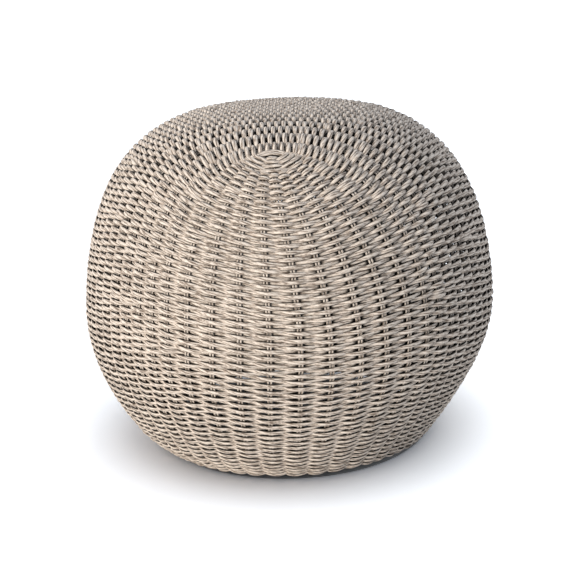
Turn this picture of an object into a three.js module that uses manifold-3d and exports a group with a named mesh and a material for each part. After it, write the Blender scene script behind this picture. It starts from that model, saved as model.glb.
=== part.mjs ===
// Round woven outdoor ottoman: a barrel-shaped skin of woven cord over a welded rod frame.
// Millimetres, +Z up, origin on the floor at the middle of the foot. The front faces -Y.

import * as THREE from "three";
import { mergeVertices } from "three/addons/utils/BufferGeometryUtils.js";
import Module from "manifold-3d";

const wasm = await Module();
wasm.setup();

// Driving dimensions of the whole object
const overallWidth = 560;
const overallHeight = 455;
const bulgeHeight = 184;
const floorWidth = 386;
const floorGap = 4;

// Roundness of the outline: plain exponents, 2 would be a circle
const flankExponent = 1.66;
const crownExponent = 1.98;
const shoulderExponent = 3.53;

// Woven skin and its border
const skinThickness = 10;
const borderEndAngle = 150;

// Frame rods
const baseRodRadius = 7;
const waistRodRadius = 5;
const seatRodRadius = 6;
const ribRadius = 5;
const seatBarRadius = 5;
const seatRingRadius = 150;
const ribCount = 8;

// Glides, with the plates, screws and nuts that hold them
const glideCount = 6;
const glideTurnShare = 0.5;
const glideRadius = 11;
const glideEdge = 1.5;
const glideMargin = 4;
const plateThickness = 4;
const plateWidth = 24;
const screwRadius = 2.9;
const screwHeadRadius = 5.5;
const screwHeadHeight = 3.6;
const screwHeadRecess = 1.5;
const socketRadius = 2.3;
const socketDepth = 2;
const nutRadius = 5.6;
const nutHeight = 5;
const screwTail = 1.2;

// Fits: the gap left where two pieces meet, and how far a cutter runs past a face
const seatGap = 0.3;
const cutOverrun = 2;

// How finely round shapes are divided. Every rib and plate stands at a facet edge of the skin and
// the rings. The facets of the outline stray from it by the tolerance at most.
const roundSegments = ribCount * glideCount;
const rodSides = 8;
const ribSteps = 6;
const cornerSteps = 5;
const smallSegments = 12;
const outlineSamples = 600;
const outlineTolerance = 0.5;
const longestStep = 60;

const skinMaterial = new THREE.MeshStandardMaterial({ color: 0xb9aa97, roughness: 0.85, metalness: 0 });
const frameMaterial = new THREE.MeshStandardMaterial({ color: 0x6b6259, roughness: 0.55, metalness: 0.3 });
const glideMaterial = new THREE.MeshStandardMaterial({ color: 0x262523, roughness: 0.6, metalness: 0 });
const steelMaterial = new THREE.MeshStandardMaterial({ color: 0xb8b8b4, roughness: 0.35, metalness: 1 });

const object = new THREE.Group();

function addPiece(name, geometry, material, turn = 0) {
  const mesh = new THREE.Mesh(geometry, material);
  mesh.name = name;
  mesh.rotation.z = turn;
  object.add(mesh);
}

// A geometry as a manifold solid, and back again
function toSolid(geometry) {
  const bare = geometry.index ? geometry.toNonIndexed() : geometry.clone();
  bare.deleteAttribute("normal");
  bare.deleteAttribute("uv");
  const merged = mergeVertices(bare);
  return new wasm.Manifold(new wasm.Mesh({
    numProp: 3,
    vertProperties: Float32Array.from(merged.attributes.position.array),
    triVerts: Uint32Array.from(merged.index.array),
  }));
}

function toGeometry(solid) {
  const mesh = solid.getMesh();
  const geometry = new THREE.BufferGeometry();
  geometry.setAttribute("position", new THREE.BufferAttribute(mesh.vertProperties, mesh.numProp));
  geometry.setIndex(new THREE.BufferAttribute(mesh.triVerts, 1));
  return geometry;
}

// A closed outline of (radius, height) points turned about the vertical axis
function turned(outline, segments) {
  return new THREE.LatheGeometry(outline, segments).rotateX(Math.PI / 2);
}

// The outer outline of the skin, from the floor to the middle of the top. The flank below the bulge
// is a power curve, and the crown above it is a quarter of a rounded square (a superellipse).
function outlinePoint(share) {
  const bulgeRadius = overallWidth / 2;
  const flankShare = bulgeHeight / (overallHeight + bulgeRadius);
  if (share < flankShare) {
    const fall = 1 - share / flankShare;
    const radius = bulgeRadius - (bulgeRadius - floorWidth / 2) * fall ** flankExponent;
    return new THREE.Vector2(radius, bulgeHeight * share / flankShare);
  }
  const angle = Math.PI / 2 * (share - flankShare) / (1 - flankShare);
  const radius = bulgeRadius * Math.max(Math.cos(angle), 0) ** (2 / shoulderExponent);
  const rise = (overallHeight - bulgeHeight) * Math.sin(angle) ** (2 / crownExponent);
  return new THREE.Vector2(share === 1 ? 0 : radius, bulgeHeight + rise);
}

const outerOutline = [];
for (let i = 0; i <= outlineSamples; i++) outerOutline.push(outlinePoint(i / outlineSamples));

// The outline moved inwards by a depth, each point along its own normal
function insetOutline(depth) {
  return outerOutline.map((point, i) => {
    const before = outerOutline[Math.max(i - 1, 0)];
    const after = outerOutline[Math.min(i + 1, outlineSamples)];
    const along = after.clone().sub(before).normalize();
    const atTop = i === outlineSamples;
    const inward = atTop ? new THREE.Vector2(0, -1) : new THREE.Vector2(-along.y, along.x);
    const moved = point.clone().addScaledVector(inward, depth);
    return new THREE.Vector2(Math.max(moved.x, 0), moved.y);
  });
}

// A polyline divided again into equal steps along its length
function evenly(points, steps) {
  const lengths = [0];
  for (let i = 1; i < points.length; i++) {
    lengths.push(lengths[i - 1] + points[i].distanceTo(points[i - 1]));
  }
  const result = [];
  for (let step = 0, i = 1; step <= steps; step++) {
    const wanted = lengths[lengths.length - 1] * step / steps;
    while (i < lengths.length - 1 && lengths[i] < wanted) i++;
    const part = (wanted - lengths[i - 1]) / (lengths[i] - lengths[i - 1]);
    result.push(points[i - 1].clone().lerp(points[i], Math.min(part, 1)));
  }
  return result;
}

// Indices along a stretch of a dense line, closer together where it bends, so that no chord leaves
// it by more than the tolerance: a chord c on a bend of radius r strays by c * c / (8 * r)
function facetIndices(line, from, to) {
  const measure = [0, 0];
  for (let i = from + 1; i < to; i++) {
    const before = line[i].clone().sub(line[i - 1]);
    const after = line[i + 1].clone().sub(line[i]);
    const length = after.length();
    const bend = Math.abs(Math.asin(before.cross(after) / before.length() / length)) / length;
    const step = 1 / longestStep + Math.sqrt(bend / (8 * outlineTolerance));
    measure.push(measure[i - from] + step * length);
  }
  const total = measure[measure.length - 1];
  const count = Math.ceil(total);
  const indices = [];
  for (let step = 0; step < count; step++) {
    indices.push(from + measure.findIndex((value) => value >= total * step / count));
  }
  return [...indices, to];
}

// How deep under the outer outline a rod's middle lies, when the rod lies against the skin
function rodDepth(radius) {
  return skinThickness + seatGap + outlineTolerance + radius;
}

// The base ring's middle: the woven border is wrapped round it and clears the floor
const borderRadius = rodDepth(baseRodRadius);
const baseRingHeight = floorGap + borderRadius;
const baseLine = insetOutline(borderRadius);
const baseIndex = baseLine.findIndex((point) => point.y >= baseRingHeight);
const baseRingRadius = baseLine[baseIndex].x;
const foot = outerOutline[baseIndex];
const footAngle = Math.atan2(foot.y - baseLine[baseIndex].y, foot.x - baseLine[baseIndex].x);

// Woven skin: the outline and its inner wall, down to the foot where the border takes over
function skinGeometry() {
  const innerOutline = insetOutline(skinThickness);
  const bulgeIndex = outerOutline.findIndex((point) => point.y >= bulgeHeight);
  const flank = facetIndices(outerOutline, baseIndex, bulgeIndex);
  const crown = facetIndices(outerOutline, bulgeIndex, outlineSamples);
  const indices = [...flank, ...crown.slice(1)];
  const outer = indices.map((i) => outerOutline[i]);
  const inner = indices.map((i) => innerOutline[i]);
  return turned([...outer, ...inner.reverse(), outer[0]], roundSegments);
}

// The border goes round under the ring and ends on its inner side, at an angle below the level
const borderEnd = -THREE.MathUtils.degToRad(borderEndAngle);

// An arc of points about the base ring's middle
function borderArc(radius, from, to) {
  const points = [];
  for (let i = 0; i <= cornerSteps; i++) {
    const angle = from + (to - from) * i / cornerSteps;
    const x = baseRingRadius + radius * Math.cos(angle);
    points.push(new THREE.Vector2(x, baseRingHeight + radius * Math.sin(angle)));
  }
  return points;
}

// Border: the same weave turned under the base ring and up its inner side
function borderGeometry() {
  const innerRadius = baseRodRadius + seatGap;
  const start = footAngle - seatGap / innerRadius;
  const outer = borderArc(borderRadius, borderEnd, start);
  const inner = borderArc(innerRadius, start, borderEnd);
  return turned([...outer, ...inner, outer[0]], roundSegments);
}

// A ring of round rod lying flat, its middle at a radius and a height
function ringGeometry(radius, height, rodRadius) {
  const section = [];
  for (let i = 0; i <= rodSides; i++) {
    const angle = 2 * Math.PI * (i % rodSides) / rodSides;
    section.push(new THREE.Vector2(radius + rodRadius * Math.cos(angle), height + rodRadius * Math.sin(angle)));
  }
  return turned(section, roundSegments);
}

const waistLine = insetOutline(rodDepth(waistRodRadius));
const waistRingRadius = Math.max(...waistLine.map((point) => point.x));
const waistRingHeight = waistLine.find((point) => point.x === waistRingRadius).y;
const seatLine = insetOutline(rodDepth(seatRodRadius));
const seatRingHeight = seatLine.find((point) => point.y > bulgeHeight && point.x <= seatRingRadius).y;

const baseRing = { radius: baseRingRadius, height: baseRingHeight, rod: baseRodRadius };
const waistRing = { radius: waistRingRadius, height: waistRingHeight, rod: waistRodRadius };
const seatRing = { radius: seatRingRadius, height: seatRingHeight, rod: seatRodRadius };

// A rod along points in the upright plane through +X
function rodGeometry(points, radius, steps) {
  const section = new THREE.Shape();
  for (let i = 0; i < rodSides; i++) {
    const angle = 2 * Math.PI * i / rodSides;
    if (i === 0) section.moveTo(radius, 0);
    else section.lineTo(radius * Math.cos(angle), radius * Math.sin(angle));
  }
  const path = new THREE.CatmullRomCurve3(points.map((point) => new THREE.Vector3(point.x, 0, point.y)));
  return new THREE.ExtrudeGeometry(section, { steps, extrudePath: path, bevelEnabled: false });
}

// The rod with its ends cut to fit round the rings that it is welded to
function coped(geometry, rings) {
  let solid = toSolid(geometry);
  for (const ring of rings) {
    const cutter = toSolid(ringGeometry(ring.radius, ring.height, ring.rod + seatGap));
    solid = solid.subtract(cutter);
  }
  const bodies = solid.decompose();
  bodies.sort((a, b) => b.volume() - a.volume());
  return bodies[0];
}

// Ribs follow the inside of the skin. A rib's line runs between two rings, from middle to middle.
const ribLine = insetOutline(rodDepth(ribRadius));
const ribStart = ribLine.findIndex((point) => point.y >= baseRingHeight);
const ribWaist = ribLine.findIndex((point) => point.y >= waistRingHeight);
const ribEnd = ribLine.findIndex((point) => point.y > bulgeHeight && point.x <= seatRingRadius);

function ribGeometry(from, to, rings) {
  const points = evenly(ribLine.slice(from, to + 1), ribSteps);
  return toGeometry(coped(rodGeometry(points, ribRadius, ribSteps), rings));
}

// Seat bars follow the inside of the top. The whole bar runs along X, the half bars meet it.
const barLine = insetOutline(rodDepth(seatBarRadius));
const barEnd = barLine.findIndex((point) => point.y > bulgeHeight && point.x <= seatRingRadius);
const barHalf = barLine.slice(barEnd);

function wholeBar() {
  const mirrored = barHalf.map((point) => new THREE.Vector2(-point.x, point.y)).reverse();
  const points = evenly([...barHalf, ...mirrored.slice(1)], ribSteps);
  return coped(rodGeometry(points, seatBarRadius, ribSteps), [seatRing]);
}

function halfBar() {
  const points = evenly(barHalf, ribSteps / 2);
  const rod = coped(rodGeometry(points, seatBarRadius, ribSteps / 2), [seatRing]);
  const top = barHalf[barHalf.length - 1].y;
  const width = seatBarRadius + seatGap;
  const block = new THREE.BoxGeometry(2 * width, 2 * (width + cutOverrun), 2 * (width + cutOverrun));
  const cut = rod.subtract(toSolid(block.translate(0, 0, top)));
  return toGeometry(cut);
}

// Glides stand inside the border, on a circle that clears the border's inner end by a margin
const borderInside = baseRingRadius + borderRadius * Math.cos(borderEnd);
const glideCircle = borderInside - glideMargin - glideRadius;
const plateBottom = baseRingHeight - plateThickness / 2;
const plateTop = plateBottom + plateThickness;
const glideHeight = plateBottom - seatGap;

const screwHeadSeat = screwHeadRecess + screwHeadHeight;
const screwTop = plateTop + seatGap + nutHeight + screwTail;

// Plate: a flat tongue with a round inner end and a hole for the screw, cut to fit round the ring
function plateGeometry() {
  const half = plateWidth / 2;
  const shape = new THREE.Shape();
  shape.moveTo(glideCircle, -half);
  shape.lineTo(baseRingRadius, -half);
  shape.lineTo(baseRingRadius, half);
  shape.lineTo(glideCircle, half);
  shape.absarc(glideCircle, 0, half, Math.PI / 2, 3 * Math.PI / 2, false);
  const hole = new THREE.Path();
  hole.absarc(glideCircle, 0, screwRadius + seatGap, 0, 2 * Math.PI, true);
  shape.holes.push(hole);
  const settings = { depth: plateThickness, bevelEnabled: false, curveSegments: smallSegments / 2 };
  const flat = new THREE.ExtrudeGeometry(shape, settings).translate(0, 0, plateBottom);
  return toGeometry(coped(flat, [baseRing]));
}

// Glide: a round foot with a chamfered edge, bored for the screw and recessed for its head
function glideGeometry() {
  const bore = screwRadius + seatGap;
  const recess = screwHeadRadius + seatGap;
  const seat = screwHeadSeat + seatGap;
  const outline = [
    [bore, glideHeight], [bore, seat], [recess, seat], [recess, 0],
    [glideRadius - glideEdge, 0], [glideRadius, glideEdge], [glideRadius, glideHeight], [bore, glideHeight],
  ].map(([x, y]) => new THREE.Vector2(x, y));
  return turned(outline, smallSegments).translate(glideCircle, 0, 0);
}

// Screw: head down in the glide's recess, with a hexagon socket, its tail just past the nut
function screwGeometry() {
  const outline = [
    [0, screwHeadRecess], [screwHeadRadius, screwHeadRecess], [screwHeadRadius, screwHeadSeat],
    [screwRadius, screwHeadSeat], [screwRadius, screwTop], [0, screwTop],
  ].map(([x, y]) => new THREE.Vector2(x, y));
  const body = toSolid(turned(outline, smallSegments));
  const socketLength = socketDepth + cutOverrun;
  const socket = new THREE.CylinderGeometry(socketRadius, socketRadius, socketLength, 6).rotateX(Math.PI / 2);
  socket.translate(0, 0, screwHeadRecess + socketDepth - socketLength / 2);
  return toGeometry(body.subtract(toSolid(socket))).translate(glideCircle, 0, 0);
}

// Nut: a hexagon with a hole, on top of the plate
function nutGeometry() {
  const shape = new THREE.Shape();
  for (let i = 0; i < 6; i++) {
    const angle = Math.PI * i / 3;
    if (i === 0) shape.moveTo(nutRadius, 0);
    else shape.lineTo(nutRadius * Math.cos(angle), nutRadius * Math.sin(angle));
  }
  const hole = new THREE.Path();
  hole.absarc(0, 0, screwRadius + seatGap, 0, 2 * Math.PI, true);
  shape.holes.push(hole);
  const settings = { depth: nutHeight, bevelEnabled: false, curveSegments: smallSegments / 2 };
  return new THREE.ExtrudeGeometry(shape, settings).translate(glideCircle, 0, plateTop + seatGap);
}

addPiece("woven_skin", skinGeometry(), skinMaterial);
addPiece("woven_border", borderGeometry(), skinMaterial);

addPiece("base_ring", ringGeometry(baseRing.radius, baseRing.height, baseRing.rod), frameMaterial);
addPiece("waist_ring", ringGeometry(waistRing.radius, waistRing.height, waistRing.rod), frameMaterial);
addPiece("seat_ring", ringGeometry(seatRing.radius, seatRing.height, seatRing.rod), frameMaterial);

const lowerRib = ribGeometry(ribStart, ribWaist, [baseRing, waistRing]);
const upperRib = ribGeometry(ribWaist, ribEnd, [waistRing, seatRing]);
for (let i = 0; i < ribCount; i++) {
  const turn = 2 * Math.PI * i / ribCount;
  addPiece(`lower_rib_${i + 1}`, lowerRib, frameMaterial, turn);
  addPiece(`upper_rib_${i + 1}`, upperRib, frameMaterial, turn);
}

addPiece("seat_bar_whole", toGeometry(wholeBar()), frameMaterial);
addPiece("seat_bar_back", halfBar(), frameMaterial, Math.PI / 2);
addPiece("seat_bar_front", halfBar(), frameMaterial, -Math.PI / 2);

const plate = plateGeometry();
const glide = glideGeometry();
const screw = screwGeometry();
const nut = nutGeometry();
for (let i = 0; i < glideCount; i++) {
  const turn = 2 * Math.PI * (i + glideTurnShare) / glideCount;
  addPiece(`glide_plate_${i + 1}`, plate, frameMaterial, turn);
  addPiece(`glide_${i + 1}`, glide, glideMaterial, turn);
  addPiece(`glide_screw_${i + 1}`, screw, steelMaterial, turn);
  addPiece(`glide_nut_${i + 1}`, nut, steelMaterial, turn);
}

export default object;
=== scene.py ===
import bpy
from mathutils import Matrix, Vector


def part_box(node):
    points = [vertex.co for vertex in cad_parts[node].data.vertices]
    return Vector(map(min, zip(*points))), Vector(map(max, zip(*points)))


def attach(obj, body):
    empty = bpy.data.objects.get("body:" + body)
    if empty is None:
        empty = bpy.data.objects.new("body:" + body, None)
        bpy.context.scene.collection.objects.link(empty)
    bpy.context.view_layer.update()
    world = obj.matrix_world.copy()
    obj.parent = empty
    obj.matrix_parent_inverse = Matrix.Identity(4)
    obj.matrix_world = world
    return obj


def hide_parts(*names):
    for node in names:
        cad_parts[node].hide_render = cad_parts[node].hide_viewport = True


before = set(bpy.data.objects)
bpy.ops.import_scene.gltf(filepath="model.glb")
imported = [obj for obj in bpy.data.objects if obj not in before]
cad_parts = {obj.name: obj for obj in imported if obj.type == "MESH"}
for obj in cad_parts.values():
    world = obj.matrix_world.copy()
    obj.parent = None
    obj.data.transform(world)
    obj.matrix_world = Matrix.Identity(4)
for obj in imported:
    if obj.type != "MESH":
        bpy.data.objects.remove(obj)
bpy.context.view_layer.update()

import math

import bpy
import numpy as np
from mathutils import Matrix

bl_info = {
    "name": "Woven outdoor ottoman",
    "version": (1, 0, 0),
    "blender": (4, 5, 0),
    "location": "3D View > Sidebar > Ottoman",
    "description": "Builds a round ottoman of woven cord over a welded frame",
    "category": "Add Mesh",
}

ROOT = "root"
SKIN = "woven_skin"
BORDER = "woven_border"
SKIN_LOW, SKIN_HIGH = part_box(SKIN)
RING_LOW, RING_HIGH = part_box("base_ring")
RING_TUBE = (RING_HIGH[2] - RING_LOW[2]) / 2
RING_RADIUS = RING_HIGH[0] - RING_TUBE
RING_HEIGHT = (RING_HIGH[2] + RING_LOW[2]) / 2
QUARTER = math.pi / 2
FULL = 2 * math.pi
CENTIMETRES = 100


# Settings

def metres(name, description, default):
    """A property with a length in metres."""
    return bpy.props.FloatProperty(name=name, description=description, default=default, unit="LENGTH")


def degrees(name, description, default):
    """A property with an angle, its default given in degrees."""
    turned = math.radians(default)
    return bpy.props.FloatProperty(name=name, description=description, default=turned, subtype="ANGLE")


def amount(name, description, default):
    """A property with a plain number."""
    return bpy.props.FloatProperty(name=name, description=description, default=default)


def integer(name, description, default):
    """A property with a whole number."""
    return bpy.props.IntProperty(name=name, description=description, default=default)


def rgb(name, description, default):
    """A property with a colour."""
    return bpy.props.FloatVectorProperty(
        name=name, description=description, default=default, subtype="COLOR")


class BodyShape(bpy.types.PropertyGroup):
    """Outline of the woven body"""

    width: metres("Width", "Width over the bulge", SKIN_HIGH[0] - SKIN_LOW[0])
    height: metres("Height", "Height over the floor", SKIN_HIGH[2])
    bulge_height: metres("Bulge height", "Height of the widest place", 0.184)
    floor_width: metres("Floor width", "Width where the flank would meet the floor", 0.386)
    flank_exponent: amount("Flank exponent", "How late the flank turns in", 1.66)
    crown_exponent: amount("Crown exponent", "Roundness of the crown upwards", 1.98)
    shoulder_exponent: amount("Shoulder exponent", "Squareness of the shoulder", 3.53)
    wrap_angle: degrees("Wrap angle", "Where the skin ends under the base ring", 150)
    skin_depth: metres("Skin depth", "Depth of the middle of the weave under the outline", 0.0063)
    dent: metres("Dent", "Height of the soft unevenness of the body", 0.0012)
    swell: metres("Swell", "How far the low flank stands out on one side", 0.0095)
    swell_turn: degrees("Swell turn", "Side of the swell, as an angle from the front", -62)


class WeaveLayout(bpy.types.PropertyGroup):
    """Where the stakes and the rows of the weave run"""

    stakes: integer("Stakes", "Stake ends round the body, an odd number", 63)
    side_stake: integer("Side stake", "Number of the stake that ends at the side", 16)
    eye_distance: metres("Eye distance", "Distance of an eye of the weave from the top centre", 0.181)
    eye_width: metres("Eye width", "Half width of the band behind an eye", 0.022)
    rows: integer("Rows", "Rows of the weaver from the eye to the border", 115)
    short_pairs: integer("Short pairs", "Pairs of short rows that fill each side", 15)
    drift: amount("Drift", "Slow unevenness of the rows, in rows", 0.12)
    tilt: degrees("Tilt", "How far the weave leans to the left on the body", 4.2)
    sway: degrees("Sway", "How far the stakes bow to the right on the front", 2.1)


class CordSizes(bpy.types.PropertyGroup):
    """Sizes of the cords"""

    width: metres("Width", "Width of the weaver cord", 0.0053)
    thickness: metres("Thickness", "Thickness of the weaver cord", 0.0041)
    lift: metres("Lift", "How far a float stands over the middle of the weave", 0.0040)
    sink: metres("Sink", "How far a row behind a stake lies under the middle of the weave", 0.0024)
    foot_relief: amount("Foot relief", "How many times deeper the weave is near the foot", 0.85)
    crown_relief: amount("Crown relief", "How many times deeper the weave is on the crown", 1.22)
    stake_cord: metres("Stake cord", "Diameter of each of the two cords of a stake", 0.0031)
    stake_gap: metres("Stake gap", "Gap between the two cords of a stake", 0.0005)
    stake_wave: metres("Stake wave", "How far a stake gives way to each row", 0.0008)
    stake_rise: metres("Stake rise", "How far a stake stands over the middle of the weave", 0.0007)
    wander: metres("Wander", "How far a hand-laid cord strays", 0.00025)


class Finishes(bpy.types.PropertyGroup):
    """Colours of the cord, the frame and the glides"""

    cord_light: rgb("Cord light", "Light fibres of the cord", (0.82, 0.71, 0.60))
    cord_middle: rgb("Cord middle", "Main colour of the cord", (0.57, 0.47, 0.38))
    cord_dark: rgb("Cord dark", "Dark fibres of the cord", (0.18, 0.13, 0.095))
    # Painted shade: the shares of the cord colour kept on the inner side of each cord, and where a cord
    # passes behind a stake or, on the stakes, over the open crown and sides.
    crevice_shade: amount("Crevice", "Share of the colour left on the inner side of a cord", 0.04)
    recess_shade: amount("Recess", "Share of the colour left where a cord passes behind", 0.04)
    frame_coat: rgb("Frame coat", "Powder coat of the frame", (0.045, 0.035, 0.028))
    glide: rgb("Glide", "Plastic of the glides", (0.03, 0.028, 0.026))
    steel: rgb("Steel", "Steel of the screws", (0.55, 0.54, 0.52))


class StageSettings(bpy.types.PropertyGroup):
    """Floor, lamps and camera"""

    floor_tone: rgb("Floor tone", "Colour of the floor", (0.64, 0.635, 0.625))
    floor_seen: amount("Floor seen", "How much paler the camera sees the floor", 2.42)
    floor_reach: metres("Floor reach", "Half width of the floor", 40)
    key: amount("Key", "Strength of the key lamp", 2.74)
    key_colour: rgb("Key colour", "Colour of the key lamp", (1.0, 0.935, 0.85))
    key_softness: degrees("Key softness", "Angle over which the key lamp spreads", 26)
    key_turn: degrees("Key turn", "Side of the key lamp, as an angle from the front", -48)
    key_rise: degrees("Key rise", "Angle of the key lamp over the horizon", 7)
    fill: amount("Fill", "Strength of the sky at the horizon", 0.485)
    fill_above: amount("Fill above", "Strength of the sky overhead", 0.56)
    fill_colour: rgb("Fill colour", "Colour of the sky's light", (0.90, 1.0, 1.15))
    floor_light: amount("Floor light", "Strength of the lamp that lights the floor only", 1.28)
    floor_light_softness: degrees("Floor light softness", "Angle over which that lamp spreads", 54)
    floor_light_turn: degrees("Floor light turn", "Side of that lamp, as an angle from the front", 70)
    floor_light_rise: degrees("Floor light rise", "Angle of that lamp over the horizon", 84)
    camera_distance: metres("Camera distance", "Distance of the camera from the object's middle", 1.68)
    camera_rise: degrees("Camera rise", "Angle of the camera over the horizon", 15.884)
    camera_roll: degrees("Camera roll", "Lean of the camera", -2.06)
    lens: amount("Lens", "Focal length in millimetres on a 36 mm sensor", 76.02)
    shift_across: amount("Shift across", "Sideways shift of the camera", -0.0017)
    shift_up: amount("Shift up", "Upward shift of the camera", -0.0343)


class OttomanSettings(bpy.types.PropertyGroup):
    """All settings of the ottoman"""

    body: bpy.props.PointerProperty(type=BodyShape)
    weave: bpy.props.PointerProperty(type=WeaveLayout)
    cord: bpy.props.PointerProperty(type=CordSizes)
    finish: bpy.props.PointerProperty(type=Finishes)
    stage: bpy.props.PointerProperty(type=StageSettings)


# Shapes of the body and the weave

def smooth_step(value, start=0, width=1):
    """A step from 0 to 1 that begins at start, 3x^2 - 2x^3 over a width."""
    held = np.clip((value - start) / width, 0, 1)
    return held * held * (3 - 2 * held)


class Outline:
    """Half outline of the body from the top centre down, and under the base ring.

    The crown is a quarter superellipse: with an angle b from 0 at the top to a right angle at the
    bulge, radius = R sin(b)^(2/p) and height = B + (H - B) cos(b)^(2/q). The flank runs from the
    bulge to the floor with radius = R - (R - F)(1 - z/B)^n, up to the point nearest to the middle
    of the base ring, and an arc round that middle turns the skin under. A constant of two numbers
    is the start and the width of a smooth step.
    """

    crown_samples = 2401
    arc_samples = 200
    low_reach = 0.85
    front_lean = 0.09
    front_edge = 0.65
    front_blend = 0.28
    low_blend = 0.3
    level_steps = (0.35, 0.25)
    low_openness = 0.35
    dents = ((3, 9, 0), (5, -14, 1), (2, 23, 2))
    swell_rise = (-0.07, 0.28)
    swell_fall = (0.4, 0.75)
    inward_share = 0.3

    def __init__(self, body):
        widest = body.width / 2
        bulge = body.bulge_height
        floor = body.floor_width / 2
        fine = np.linspace(0, 1, self.crown_samples)
        from_top = QUARTER * fine ** (body.shoulder_exponent / 2)
        crown_r = widest * np.sin(from_top) ** (2 / body.shoulder_exponent)
        crown_z = bulge + (body.height - bulge) * np.cos(from_top).clip(0) ** (2 / body.crown_exponent)
        flank_z = bulge * (1 - fine[1:])
        flank_r = widest - (widest - floor) * (1 - flank_z / bulge) ** body.flank_exponent
        reach = np.hypot(flank_r - RING_RADIUS, flank_z - RING_HEIGHT)
        foot = int(reach.argmin())
        start = math.atan2(flank_z[foot] - RING_HEIGHT, flank_r[foot] - RING_RADIUS)
        turn = np.linspace(start, -body.wrap_angle, self.arc_samples)[1:]
        arc_r = RING_RADIUS + reach[foot] * np.cos(turn)
        arc_z = RING_HEIGHT + reach[foot] * np.sin(turn)
        self.radius = np.concatenate([crown_r, flank_r[:foot + 1], arc_r])
        self.height = np.concatenate([crown_z, flank_z[:foot + 1], arc_z])
        step = np.hypot(np.diff(self.radius), np.diff(self.height))
        self.arc = np.concatenate([[0], np.cumsum(step)])
        self.length = float(self.arc[-1])
        self.bulge = float(self.arc[len(crown_r) - 1])
        self.foot = float(self.arc[len(crown_r) + foot])
        slope_r = np.gradient(self.radius, self.arc)
        slope_z = np.gradient(self.height, self.arc)
        size = np.hypot(slope_r, slope_z)
        self.normal_r = -slope_z / size
        self.normal_z = slope_r / size
        self.body = body

    def lowness(self, arc):
        """0 down to the bulge and 1 near the foot, with a smooth step between."""
        return smooth_step((arc - self.bulge) / (self.foot - self.bulge), 0, self.low_reach)

    def upward(self, arc):
        """Share of the normal that points up, 1 on the crown and 0 from the bulge down."""
        return np.interp(arc, self.arc, self.normal_z).clip(0)

    def openness(self, arc, turn):
        """0 where the weave is packed tight, on the front between the eye and the bulge, up to 1; it
        also sets how much painted shade the cords get.
        """
        share = arc / self.bulge
        low = smooth_step(share, 1, self.low_blend)
        edge = self.front_edge * (1 - low)
        faced = smooth_step(np.cos(turn + self.front_lean), edge, self.front_blend)
        level = smooth_step(share, *self.level_steps)
        return 1 - faced * level * (1 - self.low_openness * low)

    def place(self, arc, turn, lift):
        """Point and outward normal at an arc length from the top and an angle round the body.

        The outline's point is moved along the normal by lift less the skin depth, by a few long
        low waves, and by a swell: a cosine round the body that rises and falls with the height.
        """
        radius = np.interp(arc, self.arc, self.radius)
        height = np.interp(arc, self.arc, self.height)
        out = np.interp(arc, self.arc, self.normal_r)
        up = np.interp(arc, self.arc, self.normal_z)
        along = arc / self.length
        waves = sum(np.sin(waves_round * turn + waves_down * along + phase)
                    for waves_round, waves_down, phase in self.dents)
        waves = waves * np.sin(math.pi * along) / len(self.dents)
        share = height / self.body.bulge_height
        side = np.cos(turn - self.body.swell_turn)
        swell = self.body.swell * np.where(side > 0, side, self.inward_share * side)
        swell = swell * smooth_step(share, *self.swell_rise)
        swell = swell * (1 - smooth_step(share, *self.swell_fall))
        away = lift - self.body.skin_depth + self.body.dent * (waves - 1) + swell
        ring = radius + away * out
        point = np.stack([ring * np.sin(turn), -ring * np.cos(turn), height + away * up], -1)
        normal = np.stack([out * np.sin(turn), -out * np.cos(turn), up], -1)
        return point, normal


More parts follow.
